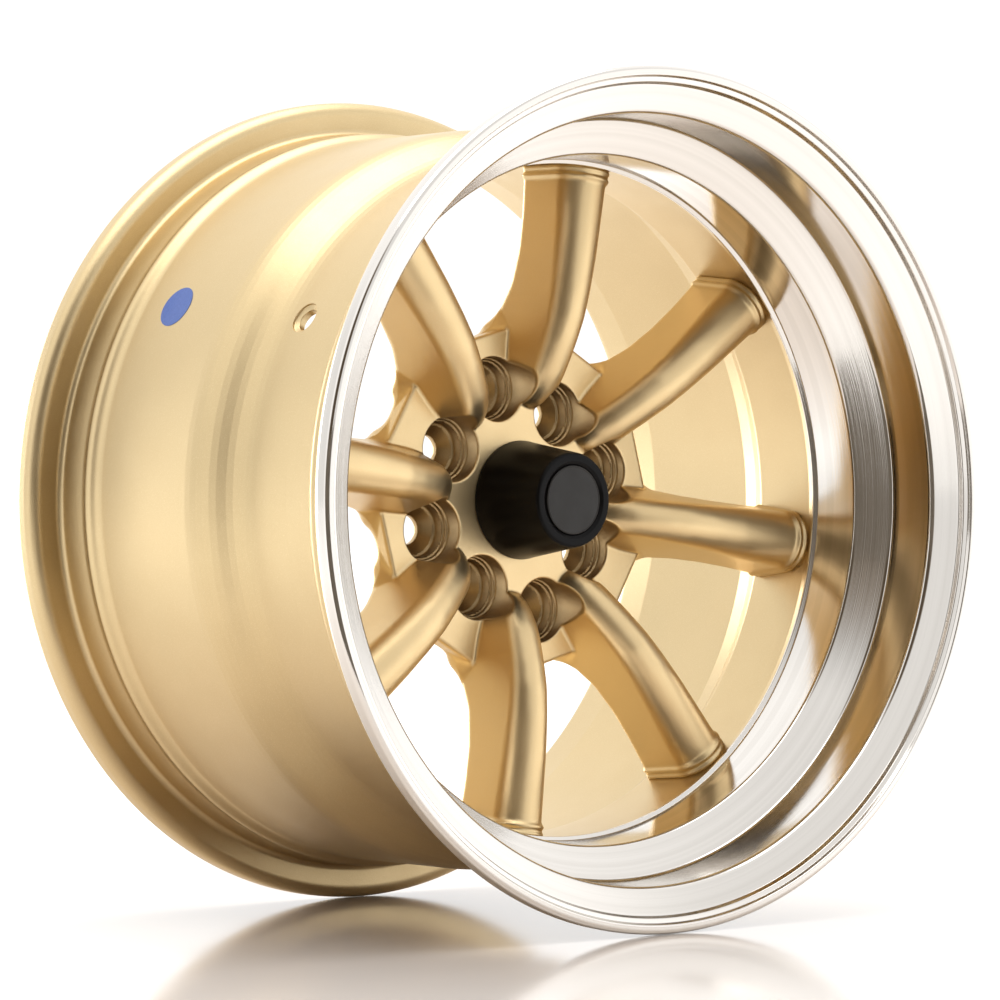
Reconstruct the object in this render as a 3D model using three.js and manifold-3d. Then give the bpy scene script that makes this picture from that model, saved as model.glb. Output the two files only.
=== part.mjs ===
// Racing wheel rim, 15 x 9J: a deep stepped outer lip, eight tubular spokes and a tall push-in centre cap.
// Millimetres, +Z up. The wheel turns about the Y axis, its outboard side faces -Y,
// and the origin is on the axis, halfway across the rim.
import * as THREE from "three";
import { mergeVertices } from "three/addons/utils/BufferGeometryUtils.js";
import Module from "manifold-3d";

const wasm = await Module();
wasm.setup();

// Rim: the J flange contour of a 15 inch rim, 9 inches between its bead faces
const INCH = 25.4;
const FLANGE_RADIUS = 207.5;
const BEAD_FACE = (9 * INCH) / 2;
const FLANGE_THICKNESS = 12.7;
const HALF_WIDTH = BEAD_FACE + FLANGE_THICKNESS;
const BEAD_RADIUS = 190.2;
const HUMP_RADIUS = 190;
const SEAT_END_RADIUS = 188.8;
const DROP_CENTRE_RADIUS = 172.5;
const BARREL_RADIUS = 186;
const BARREL_INNER_RADIUS = 181.5;
const LANDING_RADIUS = 167;
const LANDING_FRONT_Y = -45;
const LANDING_BACK_Y = -6;
const OUTER_SLOPE_START_Y = -89.2;
const DROP_CENTRE_START_Y = -70;
const DROP_CENTRE_END_Y = -16;
const BARREL_START_Y = 4;
const BARREL_END_Y = 87;
const INNER_TAPER_END_Y = 19;
const SLOPE_EASE = { r: 1.4, y: 1.8 };
const INNER_FLARE = [
  { r: BARREL_INNER_RADIUS, y: 91 },
  { r: 183.4, y: 98 },
  { r: 184.6, y: 109 },
  { r: 188, y: 116.6 },
  { r: 197, y: 122.4 },
];

// Machined dish inside the outer lip: flange face, outer wall, step and inner wall
const FACE_EDGE = { r: 201.5, y: -122.8 };
const DISH_MOUTH = { r: 186.2, y: -115 };
const STEP_FRONT = { r: 183, y: -87.6 };
const STEP_BACK = { r: 168.6, y: -77.9 };
const DISH_END = { r: 165.5, y: -49 };

// Hub: an eight-sided plate, a raised ring round the cap, and a round pad against the car's hub
const FACE_Y = -12.6;
const PLATE_FRONT_Y = -10;
const PLATE_BACK_Y = 2;
const PAD_Y = 13;
const PLATE_FLAT = 83.3;
const RING_RADIUS = 49;
const PAD_RADIUS = 74;
const PAD_CHAMFER = 1.5;
const CAP_BORE_RADIUS = 28;
const CENTRE_BORE_RADIUS = 67.1 / 2;
const BORE_STEP_Y = -2;

// Wheel nut pockets: two four-hole patterns, 4 x 100 and 4 x 114.3, turned 45 degrees to each other
const PITCH_RADII = [114.3 / 2, 100 / 2];
const POCKET_RADIUS = 16;
const POCKET_FLOOR_Y = -2;
const SOCKET_RADIUS = 13.4;
const SEAT_Y = 1.5;
const SEAT_RADIUS = 11.6;
const BOLT_HOLE_RADIUS = 7.1;
const BOLT_HOLE_Y = 5;

// Spokes: a rounded front on drafted sides, one between every two pockets
const SPOKES = 8;
const SPOKE_PITCH = (2 * Math.PI) / SPOKES;
const FIRST_POCKET = THREE.MathUtils.degToRad(15);
const FIRST_SPOKE = FIRST_POCKET + SPOKE_PITCH / 2;
const COLLAR_START = 159.5;
const COLLAR_HEIGHT = 2.4;
const FRONT_ARC_STEPS = 10;

// Valve hole, in the drop centre midway between two spokes
const VALVE_ANGLE = THREE.MathUtils.degToRad(150);
const VALVE_Y = -33;
const VALVE_RADIUS = 11.3 / 2;
const VALVE_SINK_RADIUS = 8;
const VALVE_SINK_DEPTH = 2;

// Balance dot, a round paper label on the barrel
const DOT_ANGLE = THREE.MathUtils.degToRad(149.5);
const DOT_Y = 57;
const DOT_RADIUS = 11;
const DOT_THICKNESS = 0.4;

// Centre cap: a tall tapered shell on a slotted skirt, a badge disc and a spring ring inside the skirt
const CAP_BASE_RADIUS = 29.8;
const CAP_TIP_RADIUS = 23.3;
const CAP_TIP_Y = -53.6;
const CAP_WALL = 2.4;
const SKIRT_RADIUS = 27.6;
const SKIRT_END_Y = 1.5;
const SKIRT_SLOTS = 6;
const SLOT_WIDTH = 6;
const BADGE_RADIUS = 17;
const BADGE_RECESS = 1.6;
const BADGE_THICKNESS = 1.2;
const SPRING_WIRE_RADIUS = 0.9;
const SPRING_Y = -5;

const GAP = 0.3;
const RIM_SEGMENTS = 60;
const HUB_SEGMENTS = 48;
const POCKET_SEGMENTS = 20;
const CAP_SEGMENTS = 36;

// Materials

const machined = new THREE.MeshStandardMaterial({ color: 0xd9d6d2, roughness: 0.22, metalness: 1 });
const gold = new THREE.MeshStandardMaterial({ color: 0xc2a164, roughness: 0.38, metalness: 0.85 });
const blackPlastic = new THREE.MeshStandardMaterial({ color: 0x0c0b0b, roughness: 0.35, metalness: 0 });
const badgeGrey = new THREE.MeshStandardMaterial({ color: 0x343433, roughness: 0.45, metalness: 0.3 });
const springSteel = new THREE.MeshStandardMaterial({ color: 0x9a9a98, roughness: 0.3, metalness: 1 });
const bluePaper = new THREE.MeshStandardMaterial({ color: 0x5f73b9, roughness: 0.6, metalness: 0 });

// Solids and meshes

function solidOf(geometry) {
  geometry.deleteAttribute("normal");
  geometry.deleteAttribute("uv");
  const merged = mergeVertices(geometry);
  const vertProperties = merged.attributes.position.array;
  const triVerts = new Uint32Array(merged.index.array);
  return new wasm.Manifold(new wasm.Mesh({ numProp: 3, vertProperties, triVerts }));
}

function geometryOf(solid) {
  const { vertProperties, triVerts } = solid.getMesh();
  const geometry = new THREE.BufferGeometry();
  geometry.setAttribute("position", new THREE.BufferAttribute(vertProperties, 3));
  geometry.setIndex(new THREE.BufferAttribute(triVerts, 1));
  geometry.computeVertexNormals();
  return geometry;
}

function meshOf(name, geometry, material) {
  const mesh = new THREE.Mesh(geometry, material);
  mesh.name = name;
  return mesh;
}

// A ring or disc turned about the Y axis from its section, given as [radius, y] corners in either direction.
function turned(section, segments) {
  const points = section.map(([radius, y]) => new THREE.Vector2(radius, y));
  if (THREE.ShapeUtils.isClockWise(points)) points.reverse();
  points.push(points[0].clone());
  return new THREE.LatheGeometry(points, segments);
}

// Section of the tyre side of one flange and its bead seat: the flange's rolled edge, its curl down to the
// bead face, the corner, the seat and the hump. side is -1 on the outboard flange and 1 on the inboard one.
function flangeSection(side) {
  const face = BEAD_FACE;
  const corners = [
    [FLANGE_RADIUS - 5.5, HALF_WIDTH - 3.1],
    [FLANGE_RADIUS - 4, HALF_WIDTH - 0.9],
    [FLANGE_RADIUS - 2.3, HALF_WIDTH],
    [FLANGE_RADIUS - 0.8, HALF_WIDTH - 0.8],
    [FLANGE_RADIUS, HALF_WIDTH - 3.3],
    [FLANGE_RADIUS, HALF_WIDTH - 6],
    [FLANGE_RADIUS - 1, HALF_WIDTH - 8.9],
    [FLANGE_RADIUS - 3.4, HALF_WIDTH - 11.4],
    [FLANGE_RADIUS - 7.5, face],
    [BEAD_RADIUS + 2.6, face],
    [BEAD_RADIUS + 0.8, face - 0.9],
    [BEAD_RADIUS, face - 2.8],
    [SEAT_END_RADIUS, face - 19.5],
    [HUMP_RADIUS, face - 21.4],
    [HUMP_RADIUS, face - 23.4],
  ];
  return corners.map(([radius, y]) => [radius, side * y]);
}

function outerLip() {
  const section = [
    [DISH_END.r, DISH_END.y],
    [STEP_BACK.r, STEP_BACK.y],
    [STEP_FRONT.r - 1.5, STEP_FRONT.y + 1],
    [STEP_FRONT.r, STEP_FRONT.y - 0.6],
    [DISH_MOUTH.r, DISH_MOUTH.y],
    [FACE_EDGE.r, FACE_EDGE.y],
    ...flangeSection(-1),
    [SEAT_END_RADIUS - 0.4, OUTER_SLOPE_START_Y],
    [DROP_CENTRE_RADIUS + 3, DROP_CENTRE_START_Y - 4],
    [DROP_CENTRE_RADIUS + 0.6, DROP_CENTRE_START_Y - 0.8],
    [DROP_CENTRE_RADIUS, DROP_CENTRE_START_Y + 2],
    [DROP_CENTRE_RADIUS, DISH_END.y],
  ];
  return meshOf("outer_lip", turned(section, RIM_SEGMENTS), machined);
}

// A tool shape whose axis runs out along a radius of the wheel, at the given angle and place across the rim.
function radialTool(section, angle, y, segments) {
  const tool = turned(section, segments);
  tool.rotateZ(-Math.PI / 2);
  tool.translate(0, y, 0);
  tool.rotateY(-angle);
  return solidOf(tool);
}

function rimBarrel() {
  const section = [
    [DROP_CENTRE_RADIUS, DISH_END.y + GAP],
    [DROP_CENTRE_RADIUS, DROP_CENTRE_END_Y - SLOPE_EASE.y],
    [DROP_CENTRE_RADIUS + SLOPE_EASE.r, DROP_CENTRE_END_Y + SLOPE_EASE.y],
    [BARREL_RADIUS - SLOPE_EASE.r, BARREL_START_Y - SLOPE_EASE.y],
    [BARREL_RADIUS, BARREL_START_Y + SLOPE_EASE.y],
    [BARREL_RADIUS, BARREL_END_Y - SLOPE_EASE.y],
    [BARREL_RADIUS + SLOPE_EASE.r, BARREL_END_Y + SLOPE_EASE.y],
    ...flangeSection(1).reverse(),
    ...INNER_FLARE.map(({ r, y }) => [r, y]).reverse(),
    [BARREL_INNER_RADIUS, INNER_TAPER_END_Y],
    [LANDING_RADIUS, LANDING_BACK_Y],
    [LANDING_RADIUS, LANDING_FRONT_Y],
    [DISH_END.r, DISH_END.y + GAP],
  ];
  const rim = solidOf(turned(section, RIM_SEGMENTS));
  const valveTool = [
    [0, LANDING_RADIUS - 10],
    [VALVE_RADIUS, LANDING_RADIUS - 10],
    [VALVE_RADIUS, DROP_CENTRE_RADIUS - VALVE_SINK_DEPTH],
    [VALVE_SINK_RADIUS, DROP_CENTRE_RADIUS - VALVE_SINK_DEPTH / 2],
    [VALVE_SINK_RADIUS, DROP_CENTRE_RADIUS + 10],
    [0, DROP_CENTRE_RADIUS + 10],
  ];
  const hole = radialTool(valveTool, VALVE_ANGLE, VALVE_Y, POCKET_SEGMENTS);
  return meshOf("rim_barrel", geometryOf(rim.subtract(hole)), gold);
}

// Hub

function pocketTool(angle, pitchRadius) {
  const section = [
    [0, -80],
    [POCKET_RADIUS, -80],
    [POCKET_RADIUS, POCKET_FLOOR_Y],
    [SOCKET_RADIUS, POCKET_FLOOR_Y],
    [SOCKET_RADIUS, SEAT_Y],
    [SEAT_RADIUS, SEAT_Y],
    [BOLT_HOLE_RADIUS, BOLT_HOLE_Y],
    [BOLT_HOLE_RADIUS, PAD_Y + 5],
    [0, PAD_Y + 5],
  ];
  const tool = turned(section, POCKET_SEGMENTS);
  tool.translate(pitchRadius * Math.cos(angle), 0, pitchRadius * Math.sin(angle));
  return solidOf(tool);
}

// The hub without its pockets and bore, grown all round by an allowance, with one corner of its plate on +X.
// The plate has one flat under each window and one corner under each spoke.
function hubBlank(allowance) {
  const cornerRadius = (PLATE_FLAT + allowance) / Math.cos(SPOKE_PITCH / 2);
  const thickness = PLATE_BACK_Y - PLATE_FRONT_Y + 2 * allowance;
  const plate = new THREE.CylinderGeometry(cornerRadius, cornerRadius, thickness, SPOKES, 1, false, Math.PI / 2);
  plate.translate(0, (PLATE_BACK_Y + PLATE_FRONT_Y) / 2, 0);
  const padSection = [
    [0, FACE_Y - allowance],
    [RING_RADIUS + allowance, FACE_Y - allowance],
    [RING_RADIUS + 3 + allowance, PLATE_FRONT_Y - allowance],
    [PAD_RADIUS + 4 + allowance, PLATE_FRONT_Y - allowance],
    [PAD_RADIUS + 4 + allowance, PLATE_BACK_Y],
    [PAD_RADIUS + allowance, PLATE_BACK_Y + 4],
    [PAD_RADIUS + allowance, PAD_Y - PAD_CHAMFER],
    [PAD_RADIUS - PAD_CHAMFER + allowance, PAD_Y + allowance],
    [0, PAD_Y + allowance],
  ];
  return solidOf(plate).add(solidOf(turned(padSection, HUB_SEGMENTS)));
}

// One eighth of the wheel seen from the front, around +X, less half a gap on each side.
function eighth() {
  const reach = 2 * FLANGE_RADIUS;
  const apex = GAP / 2 / Math.sin(SPOKE_PITCH / 2);
  const outline = new THREE.Shape([
    new THREE.Vector2(apex, 0),
    new THREE.Vector2(apex + reach * Math.cos(SPOKE_PITCH / 2), -reach * Math.sin(SPOKE_PITCH / 2)),
    new THREE.Vector2(apex + reach * Math.cos(SPOKE_PITCH / 2), reach * Math.sin(SPOKE_PITCH / 2)),
  ]);
  const wedge = new THREE.ExtrudeGeometry(outline, { depth: 2 * HALF_WIDTH, bevelEnabled: false });
  wedge.rotateX(Math.PI / 2);
  wedge.translate(0, HALF_WIDTH, 0);
  return solidOf(wedge);
}

// The eighth of the hub that carries a spoke lying along +X, from the middle of one pocket to the next.
function hubSectorGeometry(pitchBefore, pitchAfter) {
  const boreSection = [
    [0, FACE_Y - 5],
    [CAP_BORE_RADIUS, FACE_Y - 5],
    [CAP_BORE_RADIUS, BORE_STEP_Y],
    [CENTRE_BORE_RADIUS, BORE_STEP_Y],
    [CENTRE_BORE_RADIUS, PAD_Y - PAD_CHAMFER],
    [CENTRE_BORE_RADIUS + PAD_CHAMFER, PAD_Y],
    [CENTRE_BORE_RADIUS + PAD_CHAMFER, PAD_Y + 5],
    [0, PAD_Y + 5],
  ];
  return geometryOf(
    hubBlank(0)
      .intersect(eighth())
      .subtract(solidOf(turned(boreSection, HUB_SEGMENTS)))
      .subtract(pocketTool(-SPOKE_PITCH / 2, pitchBefore))
      .subtract(pocketTool(SPOKE_PITCH / 2, pitchAfter)),
  );
}

// Spokes

// Stations along a spoke: distance from the axis, place and radius of the rounded front, back edge and how much
// wider the back is on each side.
const SPOKE_STATIONS = [
  { r: 46, axisY: -9.5, radius: 5.5, backY: PLATE_BACK_Y, flare: 4 },
  { r: 52, axisY: -13, radius: 8.4, backY: PLATE_BACK_Y, flare: 6 },
  { r: 60, axisY: -17.5, radius: 10, backY: PLATE_BACK_Y, flare: 8 },
  { r: 70, axisY: -21.8, radius: 10.6, backY: PLATE_BACK_Y, flare: 9 },
  { r: 80, axisY: -26, radius: 11, backY: PLATE_BACK_Y, flare: 8.5 },
  { r: 92, axisY: -29.2, radius: 11.6, backY: 0, flare: 6.5 },
  { r: 106, axisY: -30.8, radius: 12.2, backY: -6, flare: 4.6 },
  { r: 124, axisY: -31.2, radius: 13.2, backY: -9, flare: 3.4 },
  { r: 142, axisY: -30.8, radius: 14, backY: -9.5, flare: 3 },
  { r: COLLAR_START, axisY: -30.4, radius: 14.8, backY: -9, flare: 3 },
  { r: COLLAR_START + 1.5, axisY: -30.4, radius: 14.8 + COLLAR_HEIGHT, backY: -9 + COLLAR_HEIGHT, flare: 3 },
  { r: 172, axisY: -30.4, radius: 15.2 + COLLAR_HEIGHT, backY: -9 + COLLAR_HEIGHT, flare: 3 },
];

// One ring of points across the spoke, for a spoke lying along +X: round the front, then down the drafted sides.
function spokeRing({ r, axisY, radius, backY, flare }) {
  const ring = [];
  for (let i = 0; i <= FRONT_ARC_STEPS; i++) {
    const turn = (Math.PI * i) / FRONT_ARC_STEPS;
    ring.push([r, axisY - radius * Math.sin(turn), radius * Math.cos(turn)]);
  }
  ring.push([r, backY, -radius - flare]);
  ring.push([r, backY, radius + flare]);
  return ring;
}

// A closed skin over rings with equal numbers of points, with a flat cap at each end.
function loft(rings) {
  const count = rings[0].length;
  const index = [];
  for (let ring = 0; ring + 1 < rings.length; ring++) {
    for (let i = 0; i < count; i++) {
      const a = ring * count + i;
      const b = ring * count + ((i + 1) % count);
      index.push(a, b, a + count, b, b + count, a + count);
    }
  }
  const last = (rings.length - 1) * count;
  for (let i = 1; i + 1 < count; i++) {
    index.push(0, i + 1, i);
    index.push(last, last + i, last + i + 1);
  }
  const geometry = new THREE.BufferGeometry();
  geometry.setAttribute("position", new THREE.Float32BufferAttribute(rings.flat(2), 3));
  geometry.setIndex(index);
  return geometry;
}

// A spoke along +X. The pocket on each side of its root bites into it, at that pocket's own pitch radius.
function spokeGeometry(pitchBefore, pitchAfter) {
  const reach = [
    [0, DISH_END.y],
    [DISH_END.r - GAP, DISH_END.y],
    [LANDING_RADIUS - GAP, LANDING_FRONT_Y],
    [LANDING_RADIUS - GAP, HALF_WIDTH],
    [0, HALF_WIDTH],
  ];
  const blank = solidOf(loft(SPOKE_STATIONS.map(spokeRing)));
  return geometryOf(
    blank
      .intersect(solidOf(turned(reach, RIM_SEGMENTS)))
      .subtract(hubBlank(GAP))
      .subtract(pocketTool(-SPOKE_PITCH / 2, pitchBefore))
      .subtract(pocketTool(SPOKE_PITCH / 2, pitchAfter)),
  );
}

// Eight copies about the wheel's axis, of two kinds that take turns, because the pockets' pitch radii do.
function around(name, geometryFor) {
  const set = new THREE.Group();
  const kinds = [geometryFor(PITCH_RADII[0], PITCH_RADII[1]), geometryFor(PITCH_RADII[1], PITCH_RADII[0])];
  for (let i = 0; i < SPOKES; i++) {
    const piece = meshOf(name + (i + 1), kinds[i % 2], gold);
    piece.rotation.y = -(FIRST_SPOKE + i * SPOKE_PITCH);
    set.add(piece);
  }
  return set;
}

// Label

function balanceDot() {
  const inner = BARREL_RADIUS + GAP;
  const outer = inner + DOT_THICKNESS;
  const band = [
    [inner, DOT_Y - 2 * DOT_RADIUS],
    [outer, DOT_Y - 2 * DOT_RADIUS],
    [outer, DOT_Y + 2 * DOT_RADIUS],
    [inner, DOT_Y + 2 * DOT_RADIUS],
  ];
  const punch = [
    [0, BARREL_RADIUS - 10],
    [DOT_RADIUS, BARREL_RADIUS - 10],
    [DOT_RADIUS, BARREL_RADIUS + 10],
    [0, BARREL_RADIUS + 10],
  ];
  const disc = solidOf(turned(band, RIM_SEGMENTS)).intersect(
    radialTool(punch, DOT_ANGLE, DOT_Y, POCKET_SEGMENTS),
  );
  return meshOf("balance_dot", geometryOf(disc), bluePaper);
}

// Centre cap

function capShell() {
  const baseY = FACE_Y - GAP;
  const recessRadius = BADGE_RADIUS + GAP;
  const section = [
    [0, CAP_TIP_Y + BADGE_RECESS],
    [recessRadius, CAP_TIP_Y + BADGE_RECESS],
    [recessRadius, CAP_TIP_Y],
    [CAP_TIP_RADIUS - 2, CAP_TIP_Y],
    [CAP_TIP_RADIUS - 0.6, CAP_TIP_Y + 0.6],
    [CAP_TIP_RADIUS, CAP_TIP_Y + 2],
    [CAP_BASE_RADIUS, baseY - 1],
    [CAP_BASE_RADIUS, baseY],
    [SKIRT_RADIUS, baseY],
    [SKIRT_RADIUS, SKIRT_END_Y],
    [SKIRT_RADIUS - CAP_WALL, SKIRT_END_Y],
    [SKIRT_RADIUS - CAP_WALL, baseY - 2],
    [CAP_TIP_RADIUS - CAP_WALL, CAP_TIP_Y + BADGE_RECESS + CAP_WALL],
    [0, CAP_TIP_Y + BADGE_RECESS + CAP_WALL],
  ];
  let shell = solidOf(turned(section, CAP_SEGMENTS));
  for (let i = 0; i < SKIRT_SLOTS; i++) {
    const slot = new THREE.BoxGeometry(2 * CAP_WALL + 2, SKIRT_END_Y - FACE_Y, SLOT_WIDTH);
    slot.translate(SKIRT_RADIUS - CAP_WALL / 2, (SKIRT_END_Y + FACE_Y) / 2 + 2, 0);
    slot.rotateY((2 * Math.PI * i) / SKIRT_SLOTS);
    shell = shell.subtract(solidOf(slot));
  }
  return meshOf("cap_shell", geometryOf(shell), blackPlastic);
}

function capBadge() {
  const back = CAP_TIP_Y + BADGE_RECESS - GAP;
  const section = [
    [0, back],
    [BADGE_RADIUS, back],
    [BADGE_RADIUS, back - BADGE_THICKNESS + 0.3],
    [BADGE_RADIUS - 0.5, back - BADGE_THICKNESS],
    [0, back - BADGE_THICKNESS],
  ];
  return meshOf("cap_badge", turned(section, CAP_SEGMENTS), badgeGrey);
}

function capSpringRing() {
  const ringRadius = SKIRT_RADIUS - CAP_WALL - GAP - SPRING_WIRE_RADIUS;
  const ring = new THREE.TorusGeometry(ringRadius, SPRING_WIRE_RADIUS, 8, CAP_SEGMENTS);
  ring.rotateX(Math.PI / 2);
  ring.translate(0, SPRING_Y, 0);
  return meshOf("cap_spring_ring", ring, springSteel);
}

const wheel = new THREE.Group();
wheel.add(outerLip(), rimBarrel(), balanceDot());
wheel.add(around("hub_sector_", hubSectorGeometry), around("spoke_", spokeGeometry));

const cap = new THREE.Group();
cap.add(capShell(), capBadge(), capSpringRing());

const rim = new THREE.Group();
rim.add(wheel, cap);

export default rim;
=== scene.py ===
import math

import bpy
import numpy as np
from mathutils import Matrix, Vector


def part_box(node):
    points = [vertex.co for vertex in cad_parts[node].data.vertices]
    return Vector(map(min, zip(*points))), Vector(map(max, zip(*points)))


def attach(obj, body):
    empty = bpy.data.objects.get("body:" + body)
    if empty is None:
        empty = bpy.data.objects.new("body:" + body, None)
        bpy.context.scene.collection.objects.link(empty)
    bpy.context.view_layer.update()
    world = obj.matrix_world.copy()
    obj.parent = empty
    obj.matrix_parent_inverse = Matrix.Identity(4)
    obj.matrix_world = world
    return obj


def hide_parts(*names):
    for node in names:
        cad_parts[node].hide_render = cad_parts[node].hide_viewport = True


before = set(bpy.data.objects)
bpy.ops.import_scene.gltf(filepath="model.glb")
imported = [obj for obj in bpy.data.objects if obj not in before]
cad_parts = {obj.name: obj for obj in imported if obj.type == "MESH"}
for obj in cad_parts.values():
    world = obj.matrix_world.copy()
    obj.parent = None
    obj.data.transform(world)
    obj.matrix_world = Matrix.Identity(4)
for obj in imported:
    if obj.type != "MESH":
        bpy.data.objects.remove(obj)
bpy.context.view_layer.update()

# Everything below is in millimetres until a mesh or a light is made. The wheel turns about Y and its
# outboard side faces -Y. An outline is a list of (radius, y, fillet) corners.
MM = 0.001


def extent(node):
    """The lowest and highest corner of a CAD node, in millimetres."""
    low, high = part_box(node)
    return low / MM, high / MM


LIP_LOW, LIP_HIGH = extent("outer_lip")
_, BARREL_HIGH = extent("rim_barrel")
CAP_LOW, CAP_HIGH = extent("cap_shell")
BADGE_LOW, BADGE_HIGH = extent("cap_badge")
RING_LOW, RING_HIGH = extent("cap_spring_ring")
DOT_LOW, DOT_HIGH = extent("balance_dot")
HUB_LOW, HUB_HIGH = extent("hub_sector_1")

# Rim
FLANGE_RADIUS = LIP_HIGH.x
HALF_WIDTH = BARREL_HIGH.y
FLANGE_THICKNESS = 12.7
FLANGE_LAND = 4.5
BEAD_FACE = HALF_WIDTH - FLANGE_THICKNESS
BEAD_RADIUS = 190.2
SEAT_END_RADIUS = 188.8
SEAT_WIDTH = 18.5
HUMP_RADIUS = 190.3
HUMP_REACH = 22.3
DROP_CENTRE_RADIUS = 172.5
DROP_CENTRE_START_Y = -70
DROP_CENTRE_END_Y = -16
BARREL_RADIUS = 186
BARREL_START_Y = 4
BARREL_REACH = 27.5
BARREL_INNER_RADIUS = 181.5
INNER_TAPER_START_Y = 19
INNER_TAPER_BREAK_Y = 8.5
LANDING_RADIUS = 167
LANDING_BACK_Y = -8
LIP_END_Y = LIP_HIGH.y
RIM_SEGMENTS = 288

# Dish, from its inner edge out to the lip's mouth
DISH_EDGE_RADIUS = 165.5
DISH_EDGE_Y = -49.8
INNER_WALL_RADIUS = 168.1
STEP_Y = -77.8
STEP_EDGE_Y = -88.4
OUTER_WALL_RADIUS = 184.6
MOUTH_RADIUS = 185.6
MOUTH_Y = -115.2

# Valve hole
VALVE_ANGLE = math.radians(150)
VALVE_Y = -33
VALVE_RADIUS = 11.3 / 2
VALVE_SINK_RADIUS = 8
VALVE_SINK_DEPTH = 1.2

# Hub
HUB_FACE_Y = HUB_LOW.y
PAD_Y = HUB_HIGH.y
PLATE_FRONT_Y = -9.4
PLATE_BACK_Y = 1.5
PLATE_FLAT = 84.5
RING_RADIUS = 50.5
RING_DEPTH = 12
PAD_RADIUS = 74
PAD_DEPTH = 14
CAP_BORE_RADIUS = 28
CENTRE_BORE_RADIUS = 67.1 / 2
BORE_STEP_Y = -2

# Pockets: two four-hole patterns, turned 45 degrees to each other
PITCH_RADII = (114.3 / 2, 100 / 2)
FIRST_POCKET = math.radians(15)
POCKET_MOUTH_RADIUS = 16
POCKET_MOUTH_Y = -3.4
POCKET_STEP_RADIUS = 14.9
POCKET_STEP_Y = -1.2
POCKET_BORE_RADIUS = 13.8
POCKET_BORE_Y = 4.5
NUT_CONE_RADIUS = 13.4
NUT_CONE_Y = 3.5
BOLT_HOLE_RADIUS = 7.1

# Spokes
SPOKES = 8
SPOKE_PITCH = 2 * math.pi / SPOKES
FIRST_SPOKE = FIRST_POCKET + SPOKE_PITCH / 2

# Cap
CAP_BASE_RADIUS = CAP_HIGH.x
CAP_TIP_Y = CAP_LOW.y
CAP_TIP_RADIUS = 23.3
CAP_WALL = 2.4
SKIRT_RADIUS = 27.6
SKIRT_SLOTS = 6
BADGE_RADIUS = BADGE_HIGH.x


# Outlines and meshes

SHARP_EDGE = math.radians(40)


def rounded(corners, arc_step=math.radians(8)):
    """Points of a closed outline through (radius, y, fillet) corners, each rounded by its own fillet."""
    points = []
    for i, (r, y, fillet) in enumerate(corners):
        here = np.array((r, y), float)
        if not fillet:
            points.append(here)
            continue
        back = np.array(corners[i - 1][:2], float) - here
        ahead = np.array(corners[(i + 1) % len(corners)][:2], float) - here
        back /= np.linalg.norm(back)
        ahead /= np.linalg.norm(ahead)
        half = math.acos(float(np.clip(back @ ahead, -1, 1))) / 2
        middle = (back + ahead) / np.linalg.norm(back + ahead)
        centre = here + middle * fillet / math.sin(half)
        turn = math.pi - 2 * half
        steps = max(2, math.ceil(turn / arc_step))
        first = here + back * fillet / math.tan(half) - centre
        sense = 1 if first[0] * (-middle)[1] - first[1] * (-middle)[0] > 0 else -1
        for k in range(steps + 1):
            a = sense * turn * k / steps
            spin = np.array(((math.cos(a), -math.sin(a)), (math.sin(a), math.cos(a))))
            points.append(centre + spin @ first)
    return points


def mesh_object(name, points, faces, sharp=SHARP_EDGE):
    """A smooth-shaded object from points in millimetres, with edges over the sharp angle kept crisp."""
    mesh = bpy.data.meshes.new(name)
    mesh.from_pydata([tuple(p) for p in np.asarray(points) * MM], [], faces)
    mesh.validate()
    mesh.shade_smooth()
    mesh.set_sharp_from_angle(angle=sharp)
    obj = bpy.data.objects.new(name, mesh)
    bpy.context.scene.collection.objects.link(obj)
    return obj


def supported(outline, margin=0.3):
    """The closed outline with a point just inside each end of every long straight, so that the smooth
    shading of a fillet doesn't run out over the flat beside it."""
    points = []
    for here, ahead in zip(outline, np.roll(outline, -1, axis=0)):
        points.append(here)
        length = np.linalg.norm(ahead - here)
        if length > 5 * margin:
            step = (ahead - here) * margin / length
            points += [here + step, ahead - step]
    return np.array(points)


def turned(name, outline, segments, sharp=SHARP_EDGE):
    """A body turned about the Y axis from a closed outline. Points on the axis become single vertices."""
    outline = supported(np.array([p[:2] for p in outline], float))
    ahead = np.roll(outline, -1, axis=0)
    if np.sum(outline[:, 0] * ahead[:, 1] - ahead[:, 0] * outline[:, 1]) > 0:
        outline = outline[::-1]
    points, rows = [], []
    for r, y in outline:
        if r < 1e-6:
            rows.append([len(points)] * segments)
            points.append((0, y, 0))
            continue
        rows.append(range(len(points), len(points) + segments))
        for k in range(segments):
            a = 2 * math.pi * k / segments
            points.append((r * math.cos(a), y, r * math.sin(a)))
    faces = []
    for i, row in enumerate(rows):
        other = rows[(i + 1) % len(rows)]
        for k in range(segments):
            n = (k + 1) % segments
            corners = [row[k], row[n], other[n], other[k]]
            unique = list(dict.fromkeys(corners))
            if len(unique) > 2:
                faces.append(unique)
    return mesh_object(name, points, faces, sharp)


def cut(obj, tools):
    """Cuts the tool objects out of obj and removes them."""
    for tool in tools:
        step = obj.modifiers.new("cut", "BOOLEAN")
        step.operation = "DIFFERENCE"
        step.solver = "EXACT"
        step.object = tool
    apply_modifiers(obj)
    for tool in tools:
        bpy.data.objects.remove(tool)
    obj.data.shade_smooth()
    obj.data.set_sharp_from_angle(angle=math.radians(30))


def apply_modifiers(obj):
    graph = bpy.context.evaluated_depsgraph_get()
    mesh = bpy.data.meshes.new_from_object(obj.evaluated_get(graph))
    obj.modifiers.clear()
    obj.data = mesh


# Rim

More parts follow.
